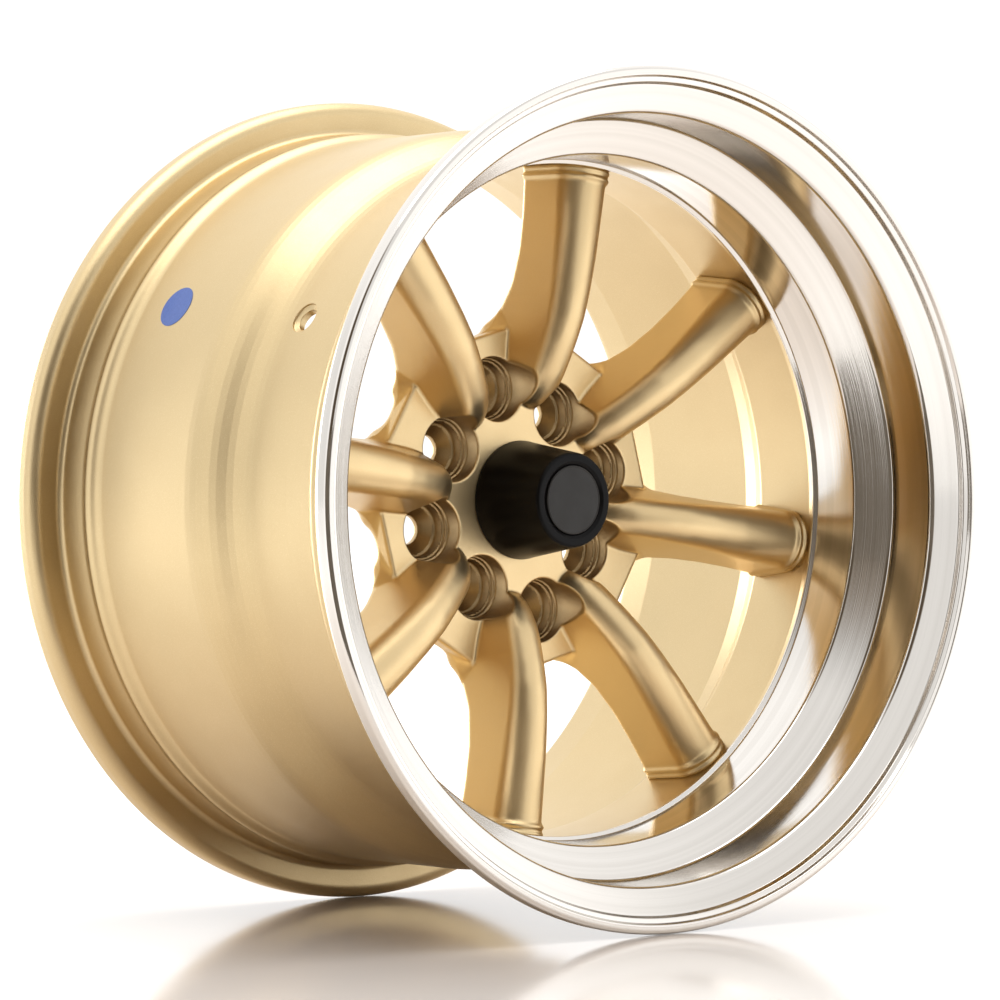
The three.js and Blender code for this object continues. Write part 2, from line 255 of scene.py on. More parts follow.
def flange(side):
    """The tyre side of a flange and its bead seat, from the flange's front to the foot of the hump."""
    corners = [
        (FLANGE_RADIUS - FLANGE_LAND, HALF_WIDTH, 0.9),
        (FLANGE_RADIUS, HALF_WIDTH, 2.4),
        (FLANGE_RADIUS, BEAD_FACE, 6.6),
        (BEAD_RADIUS, BEAD_FACE, 3.6),
        (SEAT_END_RADIUS, BEAD_FACE - SEAT_WIDTH, 8),
        (HUMP_RADIUS, BEAD_FACE - HUMP_REACH, 5),
    ]
    return [(r, side * y, fillet) for r, y, fillet in corners]


def outer_lip():
    """The machined dish, its mouth with two fine turned ledges, and the tyre side behind them."""
    corners = [
        (DISH_EDGE_RADIUS, LIP_END_Y, 0),
        (DISH_EDGE_RADIUS, DISH_EDGE_Y, 0.3),
        (INNER_WALL_RADIUS - 0.7, DISH_EDGE_Y - 1.2, 0.4),
        (INNER_WALL_RADIUS, STEP_Y, 2.4),
        (OUTER_WALL_RADIUS, STEP_EDGE_Y, 2.6),
        (MOUTH_RADIUS, MOUTH_Y, 3.4),
        (198.9, -121.8, 0.5),
        (199.9, -124.3, 0.7),
        (202.1, -125.0, 0.4),
        *flange(-1),
        (SEAT_END_RADIUS - 0.6, 26 - BEAD_FACE, 2.5),
        (DROP_CENTRE_RADIUS, DROP_CENTRE_START_Y, 6),
        (DROP_CENTRE_RADIUS, LIP_END_Y, 0),
    ]
    return turned("lip", rounded(corners), RIM_SEGMENTS)


def rim_barrel():
    """The barrel from the lip to the inboard flange, with the landing for the spokes and the valve hole."""
    corners = [
        (DROP_CENTRE_RADIUS, LIP_END_Y + 0.02, 0),
        (DROP_CENTRE_RADIUS, DROP_CENTRE_END_Y, 30),
        (BARREL_RADIUS, BARREL_START_Y, 32),
        (BARREL_RADIUS, BEAD_FACE - BARREL_REACH, 8),
        *flange(1)[::-1],
        (196.6, 122.6, 1),
        (184, 116.4, 7),
        (BARREL_INNER_RADIUS, 92, 12),
        (BARREL_INNER_RADIUS, INNER_TAPER_START_Y, 3),
        (BARREL_INNER_RADIUS - 2.6, INNER_TAPER_BREAK_Y, 3),
        (LANDING_RADIUS, LANDING_BACK_Y, 4),
        (LANDING_RADIUS, -45, 2),
        (166.1, LIP_END_Y + 0.02, 0),
    ]
    barrel = turned("barrel", rounded(corners), RIM_SEGMENTS)
    tool = turned("valve_tool", rounded([
        (0, LANDING_RADIUS - 10, 0),
        (VALVE_RADIUS, LANDING_RADIUS - 10, 0),
        (VALVE_RADIUS, DROP_CENTRE_RADIUS - VALVE_SINK_DEPTH - 1, 0.4),
        (VALVE_SINK_RADIUS, DROP_CENTRE_RADIUS - VALVE_SINK_DEPTH, 0.4),
        (VALVE_SINK_RADIUS, DROP_CENTRE_RADIUS + 10, 0),
        (0, DROP_CENTRE_RADIUS + 10, 0),
    ]), segments=48)
    tool.data.transform(
        Matrix.Rotation(-VALVE_ANGLE, 4, "Y")
        @ Matrix.Translation((0, VALVE_Y * MM, 0))
        @ Matrix.Rotation(-math.pi / 2, 4, "Z")
    )
    cut(barrel, [tool])
    return barrel


# The hub and spokes are one casting with soft fillets, so they are one surface: the places where a field of
# signed distances is zero.

def smooth_min(a, b, blend):
    """The lower of two distances, with a fillet about as wide as the blend where they meet."""
    h = np.clip(0.5 + 0.5 * (b - a) / blend, 0, 1)
    return b + h * (a - b) - blend * h * (1 - h)


def smooth_max(a, b, blend):
    """The higher of two distances, with the same fillet."""
    return -smooth_min(-a, -b, blend)


# Stations along a spoke: distance from the axis, place and radius of the rounded front, back edge, and how
# much wider the back is on each side.
SPOKE_STATIONS = np.array([
    (44, -6.0, 7.0, 4, 4),
    (49, -9.6, 9.0, 4, 5),
    (54, -14.0, 10.0, 4, 6.5),
    (62, -18.8, 10.6, 4, 8),
    (70, -22.2, 10.8, 4, 9),
    (80, -26.0, 11.0, 3, 8.5),
    (92, -29.2, 11.6, 0, 6.5),
    (106, -30.8, 12.2, -6, 4.6),
    (124, -31.2, 13.2, -9, 3.4),
    (142, -30.8, 14.0, -9.5, 3),
    (160, -30.4, 14.8, -9, 3),
    (172, -30.4, 15.0, -9, 3),
])
STATION_STEP = 0.5
STATION_REACH = 20
SMOOTHING_SAMPLES = 23
SPOKE_NOSE = 46
SPOKE_OVERLAP = 0.4
COLLAR_BEADS = (161.2, 165.0)
COLLAR_HEIGHT = 1.4
COLLAR_WIDTH = 1.6


def station_curves():
    """The stations as smooth curves, sampled every half millimetre, from a little before the first station
    to a little past the last."""
    first, last = SPOKE_STATIONS[0, 0], SPOKE_STATIONS[-1, 0]
    along = np.arange(first - STATION_REACH, last + STATION_REACH, STATION_STEP)
    window = np.hanning(SMOOTHING_SAMPLES)
    window /= window.sum()
    curves = []
    for values in SPOKE_STATIONS.T[1:]:
        line = np.interp(along, SPOKE_STATIONS[:, 0], values)
        padded = np.pad(line, len(window) // 2, mode="edge")
        curves.append(np.convolve(padded, window, mode="valid"))
    return along, curves


STATION_ALONG, STATION_CURVES = station_curves()


def spoke_field(along, side, y):
    """A spoke: a rounded front whose flanks run back, a little apart, to a flat back."""
    axis_y, radius, back_y, flare = (np.interp(along, STATION_ALONG, c) for c in STATION_CURVES)
    for bead in COLLAR_BEADS:
        radius = radius + COLLAR_HEIGHT * np.exp(-(((along - bead) / COLLAR_WIDTH) ** 2))
    lean = np.arctan2(flare, back_y - axis_y)
    drop = y - axis_y
    tube = np.hypot(side, drop) - radius
    flank = side * np.cos(lean) - drop * np.sin(lean) - radius
    body = np.where(side * np.sin(lean) + drop * np.cos(lean) < 0, tube, flank)
    body = smooth_max(body, y - back_y, blend=4)
    return smooth_max(body, SPOKE_NOSE - along, blend=5)


def hub_field(r, window_way, y):
    """The raised ring round the cap, the eight-sided plate and the round pad."""
    plate = smooth_max(window_way - PLATE_FLAT, PLATE_FRONT_Y - y, blend=2.4)
    plate = smooth_max(plate, y - PLATE_BACK_Y, blend=3)
    ring_slab = np.abs(y - (HUB_FACE_Y + RING_DEPTH / 2)) - RING_DEPTH / 2
    ring = smooth_max(r - RING_RADIUS, ring_slab, blend=1.5)
    pad_slab = np.abs(y - (PAD_Y - PAD_DEPTH / 2)) - PAD_DEPTH / 2
    pad = smooth_max(r - PAD_RADIUS, pad_slab, blend=2)
    return smooth_min(smooth_min(plate, ring, blend=1.5), pad, blend=6)


def pocket_field(x, y, z, angle, pitch_radius):
    """A wheel nut pocket: a wide mouth, a narrow step, the nut's bore, its cone and the bolt hole."""
    r = np.hypot(x - pitch_radius * math.cos(angle), z - pitch_radius * math.sin(angle))
    mouth = smooth_max(r - POCKET_MOUTH_RADIUS, y - POCKET_MOUTH_Y, blend=1.2)
    step = smooth_max(r - POCKET_STEP_RADIUS, y - POCKET_STEP_Y, blend=0.6)
    bore = smooth_max(r - POCKET_BORE_RADIUS, y - POCKET_BORE_Y, blend=1.5)
    cone = np.maximum((r - NUT_CONE_RADIUS + (y - NUT_CONE_Y)) * math.sqrt(0.5), NUT_CONE_Y - y)
    bolt = r - BOLT_HOLE_RADIUS
    return np.minimum(np.minimum(np.minimum(mouth, step), bore), np.minimum(cone, bolt))


def centre_field(x, y, z):
    """Signed distance, near the surface, to the hub and spokes together."""
    r = np.hypot(x, z)
    angle = np.arctan2(z, x)
    nearest = np.round((angle - FIRST_SPOKE) / SPOKE_PITCH)
    off = np.abs(angle - FIRST_SPOKE - nearest * SPOKE_PITCH)
    window_way = r * np.cos(SPOKE_PITCH / 2 - off)
    spoke = spoke_field(r * np.cos(off), r * np.sin(off), y)
    hub = hub_field(r, window_way, y)
    blend = np.interp(y, (-12, -9, -2, 4), (1.6, 1.6, 12, 12))
    body = smooth_min(hub, spoke, blend)
    body = smooth_max(body, r - LANDING_RADIUS - SPOKE_OVERLAP, blend=0.3)
    for i in range(SPOKES):
        pocket = pocket_field(x, y, z, FIRST_POCKET + i * SPOKE_PITCH, PITCH_RADII[i % 2])
        body = smooth_max(body, -pocket, blend=1.1)
    bore = np.minimum(
        np.maximum(r - CAP_BORE_RADIUS, y - BORE_STEP_Y),
        np.maximum(r - CENTRE_BORE_RADIUS, BORE_STEP_Y - y),
    )
    return smooth_max(body, -bore, blend=1.0)


def gradient(field, points, step=0.05):
    """The field's slope along X, Y and Z at every point."""
    x, y, z = points.T
    return np.stack((
        field(x + step, y, z) - field(x - step, y, z),
        field(x, y + step, z) - field(x, y - step, z),
        field(x, y, z + step) - field(x, y, z - step),
    ), axis=1) / (2 * step)


CELL = 0.86
# Keeps the grid's planes off the wheel's planes of symmetry.
GRID_SHIFT = 0.27


def surface_of(field, low, high, cell):
    """Points and four-sided faces of the surface where the field is zero: one point in every grid cell that
    the surface crosses, and one face for every grid edge that it crosses."""
    axes = [np.arange(a, b + cell, cell) for a, b in zip(low, high)]
    values = np.stack([
        field(axes[0][:, None], y, axes[2][None, :]) for y in axes[1]
    ], axis=1).astype(np.float32)
    inside = values < 0
    corner = [(i, j, k) for i in (0, 1) for j in (0, 1) for k in (0, 1)]
    shape = np.array(inside.shape) - 1

    def shifted(array, offset):
        return array[tuple(slice(o, o + n) for o, n in zip(offset, shape))]

    count = np.zeros(tuple(shape), np.int8)
    for offset in corner:
        count += shifted(inside, offset)
    crossed = (count > 0) & (count < 8)
    cells = np.argwhere(crossed)
    number = np.full(tuple(shape), -1, np.int32)
    number[crossed] = np.arange(len(cells))
    at = {offset: shifted(values, offset)[crossed] for offset in corner}
    total = np.zeros((len(cells), 3))
    hits = np.zeros(len(cells))
    for a in corner:
        for axis in range(3):
            if a[axis]:
                continue
            b = tuple(v + (n == axis) for n, v in enumerate(a))
            hit = (at[a] < 0) != (at[b] < 0)
            part = at[a][hit] / (at[a][hit] - at[b][hit])
            total[hit] += np.array(a)
            total[hit, axis] += part
            hits[hit] += 1
    points = np.array([axis[0] for axis in axes]) + (cells + total / hits[:, None]) * cell

    faces = []
    for axis in range(3):
        u, v = (axis + 1) % 3, (axis + 2) % 3
        here = [slice(1, -1)] * 3
        here[axis] = slice(0, -1)
        there = list(here)
        there[axis] = slice(1, None)
        near, far = inside[tuple(here)], inside[tuple(there)]
        for flip, hit in ((False, near & ~far), (True, ~near & far)):
            base = np.argwhere(hit)
            base[:, u] += 1
            base[:, v] += 1
            ring = []
            for du, dv in ((1, 1), (0, 1), (0, 0), (1, 0)):
                place = base.copy()
                place[:, u] -= du
                place[:, v] -= dv
                ring.append(number[tuple(place.T)])
            if flip:
                ring.reverse()
            faces.append(np.stack(ring, axis=1))
    faces = np.concatenate(faces)

    for _ in range(3):
        points = relaxed(points, faces)
        points = settled(field, points)
    return points, faces


def relaxed(points, faces):
    """Every point moved half way to the middle of its neighbours."""
    total = np.zeros_like(points)
    count = np.zeros(len(points))
    for i in range(4):
        for other in (faces[:, (i + 1) % 4], faces[:, (i + 3) % 4]):
            for axis in range(3):
                total[:, axis] += np.bincount(faces[:, i], points[other, axis], len(points))
            count += np.bincount(faces[:, i], minlength=len(points))
    return 0.5 * points + 0.5 * total / count[:, None]


def settled(field, points, limit=0.6, least_slope=0.5):
    """Every point moved onto the surface along the field's gradient, within the limit on each axis."""
    slope = gradient(field, points)
    value = field(*points.T)
    steepness = np.maximum((slope ** 2).sum(axis=1), least_slope ** 2)
    move = value[:, None] * slope / steepness[:, None]
    return points - np.clip(move, -limit, limit)


def wheel_centre():
    """The hub and spokes as one mesh, with normals taken from the field."""
    reach = LANDING_RADIUS + 2
    cell = CELL
    deepest_axis_y = SPOKE_STATIONS[:, 1].min()
    low = np.array((-reach, deepest_axis_y - 20, -reach)) - GRID_SHIFT
    high = (reach, PAD_Y + 2, reach)
    points, faces = surface_of(centre_field, low, high, cell)
    mesh = bpy.data.meshes.new("centre")
    mesh.vertices.add(len(points))
    mesh.vertices.foreach_set("co", (points * MM).astype(np.float32).ravel())
    mesh.loops.add(faces.size)
    mesh.loops.foreach_set("vertex_index", faces.ravel().astype(np.int32))
    mesh.polygons.add(len(faces))
    mesh.polygons.foreach_set("loop_start", np.arange(0, faces.size, 4, dtype=np.int32))
    mesh.update(calc_edges=True)
    mesh.shade_smooth()
    slope = gradient(centre_field, points)
    slope /= np.linalg.norm(slope, axis=1)[:, None]
    mesh.normals_split_custom_set_from_vertices(slope.tolist())
    obj = bpy.data.objects.new("centre", mesh)
    bpy.context.scene.collection.objects.link(obj)
    return obj


# Label

def balance_dot():
    """A paper disc bent round the barrel."""
    angle = math.atan2((DOT_LOW.z + DOT_HIGH.z) / 2, (DOT_LOW.x + DOT_HIGH.x) / 2)
    y_mid = (DOT_LOW.y + DOT_HIGH.y) / 2
    radius = (DOT_HIGH.y - DOT_LOW.y) / 2
    rings, around = 12, 64
    points, faces = [], []
    for layer in (BARREL_RADIUS + 0.02, BARREL_RADIUS + 0.18):
        points.append(on_barrel(layer, angle, 0, y_mid))
        for i in range(1, rings + 1):
            for k in range(around):
                a = 2 * math.pi * k / around
                along, across = (radius * i / rings * f for f in (math.cos(a), math.sin(a)))
                points.append(on_barrel(layer, angle, across, y_mid + along))
    size = 1 + rings * around
    for k in range(around):
        n = (k + 1) % around
        for base, flip in ((0, False), (size, True)):
            tri = [base, base + 1 + n, base + 1 + k]
            faces.append(tri[::-1] if flip else tri)
            for i in range(rings - 1):
                a = base + 1 + i * around
                quad = [a + n, a + around + n, a + around + k, a + k]
                faces.append(quad[::-1] if flip else quad)
        edge = 1 + (rings - 1) * around
        faces.append([size + edge + n, size + edge + k, edge + k, edge + n])
    return mesh_object("label", points, faces, sharp=math.radians(50))


def on_barrel(radius, angle, across, y):
    """A point at a distance across, measured round the barrel, from a line along it at the angle."""
    a = angle + across / radius
    return (radius * math.cos(a), y, radius * math.sin(a))


# Cap

def box_tool(*half):
    """A box round the origin, from its half sizes, to cut with."""
    corners = [(x, y, z) for x in (-1, 1) for y in (-1, 1) for z in (-1, 1)]
    quads = [(0, 1, 3, 2), (4, 6, 7, 5), (0, 4, 5, 1), (2, 3, 7, 6), (0, 2, 6, 4), (1, 5, 7, 3)]
    return mesh_object("slot", np.array(corners) * half, quads)


def cap_shell():
    """The hollow cap, with a seat for the badge in its tip and slots in the skirt that enters the hub."""
    base_y = HUB_FACE_Y - 0.1
    tip = CAP_TIP_Y
    seat_y = tip + 1.7
    roof_y = tip + 4.2
    inner_radius = SKIRT_RADIUS - CAP_WALL
    corners = [
        (0, seat_y, 0),
        (BADGE_RADIUS + 0.25, seat_y, 0.2),
        (BADGE_RADIUS + 0.55, tip + 0.9, 0.25),
        (BADGE_RADIUS + 2.2, tip, 0.8),
        (CAP_TIP_RADIUS, tip, 1.9),
        (CAP_BASE_RADIUS - 0.5, base_y - 2.5, 1.5),
        (CAP_BASE_RADIUS, base_y, 0.5),
        (SKIRT_RADIUS, base_y, 0.3),
        (SKIRT_RADIUS, CAP_HIGH.y, 0.6),
        (inner_radius, CAP_HIGH.y, 0.4),
        (inner_radius, base_y - 2, 0.8),
        (CAP_TIP_RADIUS - CAP_WALL, roof_y, 1),
        (0, roof_y, 0),
    ]
    shell = turned("cap", rounded(corners), segments=144, sharp=math.radians(50))
    slots = []
    for i in range(SKIRT_SLOTS):
        slot = box_tool(4, 7, 3)
        slot.data.transform(
            Matrix.Rotation(i * 2 * math.pi / SKIRT_SLOTS, 4, "Y")
            @ Matrix.Translation((
                (SKIRT_RADIUS - CAP_WALL / 2) * MM,
                (base_y + CAP_HIGH.y + 4) / 2 * MM,
                0,
            ))
        )
        slots.append(slot)
    cut(shell, slots)
    return shell


def cap_badge():
    """A plain, slightly crowned disc with a fine raised rim."""
    back = BADGE_HIGH.y + 0.28
    front = BADGE_LOW.y
    corners = [
        (0, back, 0),
        (BADGE_RADIUS, back, 0.1),
        (BADGE_RADIUS, front + 0.25, 0.25),
        (BADGE_RADIUS - 0.7, front - 0.05, 0.2),
        (BADGE_RADIUS - 1.1, front + 0.12, 0.1),
        (BADGE_RADIUS - 5, front, 20),
        (0, front - 0.1, 0),
    ]
    return turned("badge", rounded(corners), segments=128, sharp=math.radians(60))


def cap_spring_ring():
    """A round wire ring inside the skirt."""
    wire = (RING_HIGH.y - RING_LOW.y) / 2
    centre_radius = RING_HIGH.x - wire
    y_mid = (RING_HIGH.y + RING_LOW.y) / 2
    sides = 20
    circle = []
    for k in range(sides):
        a = 2 * math.pi * k / sides
        circle.append((centre_radius + wire * math.cos(a), y_mid + wire * math.sin(a)))
    return turned("spring_ring", circle, segments=128, sharp=math.pi)


# Materials

class Paint:
    """A node material under construction, with short names for the nodes that repeat."""

    def __init__(self, name):
        self.material = bpy.data.materials.new(name)
        self.material.use_nodes = True
        self.nodes = self.material.node_tree.nodes
        self.links = self.material.node_tree.links
        self.shader = next(n for n in self.nodes if n.type == "BSDF_PRINCIPLED")
        self.place = self.node("ShaderNodeTexCoord").outputs["Object"]

    def node(self, kind, **settings):
        made = self.nodes.new(kind)
        for key, value in settings.items():
            setattr(made, key, value)
        return made

    def set(self, **values):
        for key, value in values.items():
            self.shader.inputs[key.replace("_", " ")].default_value = value

    def noise(self, scale, detail=2.0, roughness=0.5, place=None):
        made = self.node("ShaderNodeTexNoise")
        made.inputs["Scale"].default_value = scale
        made.inputs["Detail"].default_value = detail
        made.inputs["Roughness"].default_value = roughness
        self.links.new(place or self.place, made.inputs["Vector"])
        return made.outputs["Fac"]

    def math(self, operation, *values):
        made = self.node("ShaderNodeMath", operation=operation)
        for slot, value in zip(made.inputs, values):
            if isinstance(value, (int, float)):
                slot.default_value = value
            else:
                self.links.new(value, slot)
        return made.outputs[0]

    def remap(self, value, low, high, to_low, to_high):
        made = self.node("ShaderNodeMapRange")
        self.links.new(value, made.inputs["Value"])
        ends = {"From Min": low, "From Max": high, "To Min": to_low, "To Max": to_high}
        for key, number in ends.items():
            made.inputs[key].default_value = number
        return made.outputs["Result"]

    def mix(self, factor, a, b):
        made = self.node("ShaderNodeMix", data_type="RGBA")
        self.links.new(factor, made.inputs["Factor"])
        for key, colour in (("A", a), ("B", b)):
            slot = next(s for s in made.inputs if s.name == key and s.type == "RGBA")
            if isinstance(colour, tuple):
                slot.default_value = (*colour, 1)
            else:
                self.links.new(colour, slot)
        return next(s for s in made.outputs if s.type == "RGBA")

    def bump(self, height, strength, distance, under=None):
        made = self.node("ShaderNodeBump")
        made.inputs["Strength"].default_value = strength
        made.inputs["Distance"].default_value = distance
        self.links.new(height, made.inputs["Height"])
        if under:
            self.links.new(under, made.inputs["Normal"])
        return made.outputs["Normal"]

    def split(self):
        made = self.node("ShaderNodeSeparateXYZ")
        self.links.new(self.place, made.inputs[0])
        return made.outputs

    def axis_distance(self):
        """The distance from the wheel's axis, in metres."""
        x, _, z = self.split()
        squares = self.math("ADD", self.math("MULTIPLY", x, x), self.math("MULTIPLY", z, z))
        return self.math("SQRT", squares)

    def to(self, output, slot):
        self.links.new(output, self.shader.inputs[slot])


def gold_paint():
    """Satin champagne gold: metal flake in a thin clear coat, a slight orange peel, faint drifts of tone, a
    lighter and more saturated copy of the same gold on the hub and spokes as painted light, and painted
    shade in a deep brown gold where the surface lies in a hollow."""
    m = Paint("gold_paint")
    m.set(Metallic=1.0, Coat_Weight=0.04, Coat_Roughness=0.2, Coat_IOR=1.4)
    drift = m.noise(9, 3)
    flake = m.noise(2600, 1)
    patch = m.remap(drift, 0.35, 0.65, 0, 1)
    # The rim and the centre are one paint. The centre's lighter, more saturated copy is painted light, for
    # how the light falls on the hub and spokes.
    rim_tone = m.mix(patch, (0.64, 0.495, 0.275), (0.68, 0.525, 0.295))
    centre_painted_light_tone = m.mix(patch, (0.765, 0.575, 0.31), (0.805, 0.605, 0.33))
    tone = m.mix(m.remap(m.axis_distance(), 0.155, 0.17, 0, 1), centre_painted_light_tone, rim_tone)
    flaked = m.mix(m.remap(flake, 0.55, 0.75, 0, 0.5), tone, (0.80, 0.66, 0.40))
    # Painted shade: ambient occlusion turns the gold deep brown in pockets, corners and other hollows.
    hollow_shade_ao = m.node("ShaderNodeAmbientOcclusion", samples=8, only_local=True)
    hollow_shade_ao.inputs["Distance"].default_value = 0.03
    unshaded_share = m.remap(hollow_shade_ao.outputs["AO"], 0.22, 0.65, 0, 1)
    m.to(m.mix(unshaded_share, (0.18, 0.10, 0.032), flaked), "Base Color")
    m.to(m.remap(m.noise(60, 3), 0.3, 0.7, 0.35, 0.40), "Roughness")
    peel = m.bump(m.noise(420, 2), 0.10, 0.0004)
    m.to(m.bump(flake, 0.10, 0.0002, peel), "Normal")
    return m.material


def turned_metal():
    """Bare turned aluminium: fine grooves round the axis that stretch its highlights across them."""
    m = Paint("turned_metal")
    m.set(Metallic=1.0, Anisotropic=0.4, Coat_Weight=0.1, Coat_Roughness=0.05)
    # Grows all the way from the dish's inner edge to the flange, so that every face and wall has grooves.
    outward = m.math("MULTIPLY", m.axis_distance(), 0.83)
    outboard = m.math("MULTIPLY", m.split()[1], -1.17)
    track = m.math("ADD", outward, outboard)
    grooves = m.node("ShaderNodeTexNoise", noise_dimensions="1D")
    grooves.inputs["Scale"].default_value = 1500
    grooves.inputs["Detail"].default_value = 3
    m.links.new(track, grooves.inputs["W"])
    bands = m.node("ShaderNodeTexNoise", noise_dimensions="1D")
    bands.inputs["Scale"].default_value = 160
    bands.inputs["Detail"].default_value = 2
    m.links.new(track, bands.inputs["W"])
    band = m.remap(bands.outputs["Fac"], 0.3, 0.7, 0, 1)
    m.to(m.mix(band, (0.70, 0.665, 0.62), (0.76, 0.725, 0.68)), "Base Color")
    m.to(m.remap(m.noise(35, 3), 0.3, 0.7, 0.08, 0.12), "Roughness")
    tangent = m.node("ShaderNodeTangent", direction_type="RADIAL", axis="Y")
    m.links.new(tangent.outputs[0], m.shader.inputs["Tangent"])
    m.to(m.bump(grooves.outputs["Fac"], 0.12, 0.00012), "Normal")
    return m.material


def black_plastic():
    """Black moulded plastic with a fine grain."""
    m = Paint("black_plastic")
    m.set(Specular_IOR_Level=0.12)
    m.to(m.mix(m.noise(25, 2), (0.0025, 0.002, 0.002), (0.004, 0.0035, 0.0035)), "Base Color")
    m.to(m.remap(m.noise(70, 3), 0.3, 0.7, 0.28, 0.38), "Roughness")
    m.to(m.bump(m.noise(1500, 2), 0.12, 0.0001), "Normal")
    return m.material


def badge_plastic():
    """Dark grey plastic with a finer, satin grain."""
    m = Paint("badge_plastic")
    m.set(Metallic=0.2)
    m.to(m.mix(m.noise(300, 2), (0.010, 0.0080, 0.0060), (0.015, 0.0120, 0.0095)), "Base Color")
    m.to(m.remap(m.noise(120, 2), 0.3, 0.7, 0.36, 0.46), "Roughness")
    m.to(m.bump(m.noise(2400, 1), 0.15, 0.00008), "Normal")
    return m.material


def spring_steel():
    """Drawn steel wire."""
    m = Paint("spring_steel")
    m.set(Metallic=1.0)
    m.to(m.mix(m.noise(200, 3), (0.50, 0.50, 0.49), (0.62, 0.61, 0.60)), "Base Color")
    m.to(m.remap(m.noise(900, 2), 0.3, 0.7, 0.22, 0.36), "Roughness")
    return m.material


def printed_paper():
    """Blue printed paper with visible fibres."""
    m = Paint("printed_paper")
    fibres = m.noise(900, 4)
    m.to(m.mix(m.remap(fibres, 0.3, 0.7, 0, 1), (0.06, 0.115, 0.36), (0.085, 0.15, 0.43)), "Base Color")
    m.to(m.remap(m.noise(60, 2), 0.3, 0.7, 0.42, 0.55), "Roughness")
    m.to(m.bump(fibres, 0.2, 0.00006), "Normal")
    return m.material


def floor_surface():
    """A pale gloss floor with painted shade under the wheel, darker and warmer there, and painted light
    further out, where it glows faintly.
    """
    m = Paint("floor")
    length = m.node("ShaderNodeVectorMath", operation="LENGTH")
    m.links.new(m.place, length.inputs[0])
    far = m.mix(m.noise(3, 2), (0.86, 0.85, 0.84), (0.90, 0.89, 0.88))
    # Painted shade: the floor's tone is darker and warmer near the wheel.
    near = m.mix(m.noise(6, 2), (0.70, 0.63, 0.575), (0.73, 0.66, 0.605))
    m.to(m.mix(m.remap(length.outputs["Value"], 0.25, 0.8, 0, 1), near, far), "Base Color")
    m.to(m.remap(m.noise(8, 2), 0.3, 0.7, 0.08, 0.11), "Roughness")
    # Painted light: the floor glows faintly further out, though it is no lamp.
    painted_light_glow = m.remap(length.outputs["Value"], 0.3, 0.9, 0, 0.2)
    m.set(Emission_Color=(1, 1, 1, 1))
    m.to(painted_light_glow, "Emission Strength")
    return m.material


# Studio

CAMERA_AZIMUTH = math.radians(-39.27)
CAMERA_DISTANCE = 2.0964
CAMERA_SIDESTEP = -0.0025
CAMERA_LENS = 150.5
DARK_AZIMUTH = math.radians(-46)


def studio_camera():
    """A long lens level with the wheel's axis."""
    back = Vector((math.sin(CAMERA_AZIMUTH), -math.cos(CAMERA_AZIMUTH), 0))
    right = Vector((math.cos(CAMERA_AZIMUTH), math.sin(CAMERA_AZIMUTH), 0))
    camera = bpy.data.objects.new("camera", bpy.data.cameras.new("camera"))
    camera.data.lens = CAMERA_LENS
    camera.data.sensor_width = 36
    camera.data.clip_end = 50
    camera.location = back * CAMERA_DISTANCE + right * CAMERA_SIDESTEP
    camera.rotation_euler = (math.pi / 2, 0, CAMERA_AZIMUTH)
    bpy.context.scene.collection.objects.link(camera)
    bpy.context.scene.camera = camera


def softbox(name, azimuth, elevation, distance, width, height, power):
    """A rectangular soft light that faces the wheel."""
    light = bpy.data.lights.new(name, "AREA")
    light.shape = "RECTANGLE"
    light.size, light.size_y = width, height
    light.energy = power
    box = bpy.data.objects.new(name, light)
    a, e = math.radians(azimuth), math.radians(elevation)
    way = Vector((math.sin(a) * math.cos(e), -math.cos(a) * math.cos(e), math.sin(e)))
    box.location = way * distance
    box.rotation_euler = way.to_track_quat("Z", "Y").to_euler()
    box.visible_camera = False
    bpy.context.scene.collection.objects.link(box)


def flag():
    """A dark card that stands below the lens. Only reflections see it, and only from the wheel's side."""
    away = 480
    left, right = 200, 480
    foot, top = LIP_LOW.z + 1, 75
    back = Vector((math.sin(DARK_AZIMUTH), -math.cos(DARK_AZIMUTH), 0)) * away
    side = Vector((math.cos(DARK_AZIMUTH), math.sin(DARK_AZIMUTH), 0))
    points = [back - side * left, back + side * right]
    corners = [(p.x, p.y, z) for z, row in ((foot, points), (top, points[::-1])) for p in row]
    card = mesh_object("flag", corners, [(3, 2, 1, 0)])
    m = Paint("flag_cloth")
    m.to(m.mix(m.noise(40, 3), (0.115, 0.098, 0.078), (0.14, 0.12, 0.095)), "Base Color")
    m.set(Roughness=0.9)
    sides = m.node("ShaderNodeMixShader")
    m.links.new(m.node("ShaderNodeNewGeometry").outputs["Backfacing"], sides.inputs["Fac"])
    m.links.new(m.shader.outputs[0], sides.inputs[1])
    m.links.new(m.node("ShaderNodeBsdfTransparent").outputs[0], sides.inputs[2])
    m.links.new(sides.outputs[0], m.nodes["Material Output"].inputs["Surface"])
    card.data.materials.append(m.material)
    card.visible_camera = False
    card.visible_diffuse = False
    card.visible_shadow = False


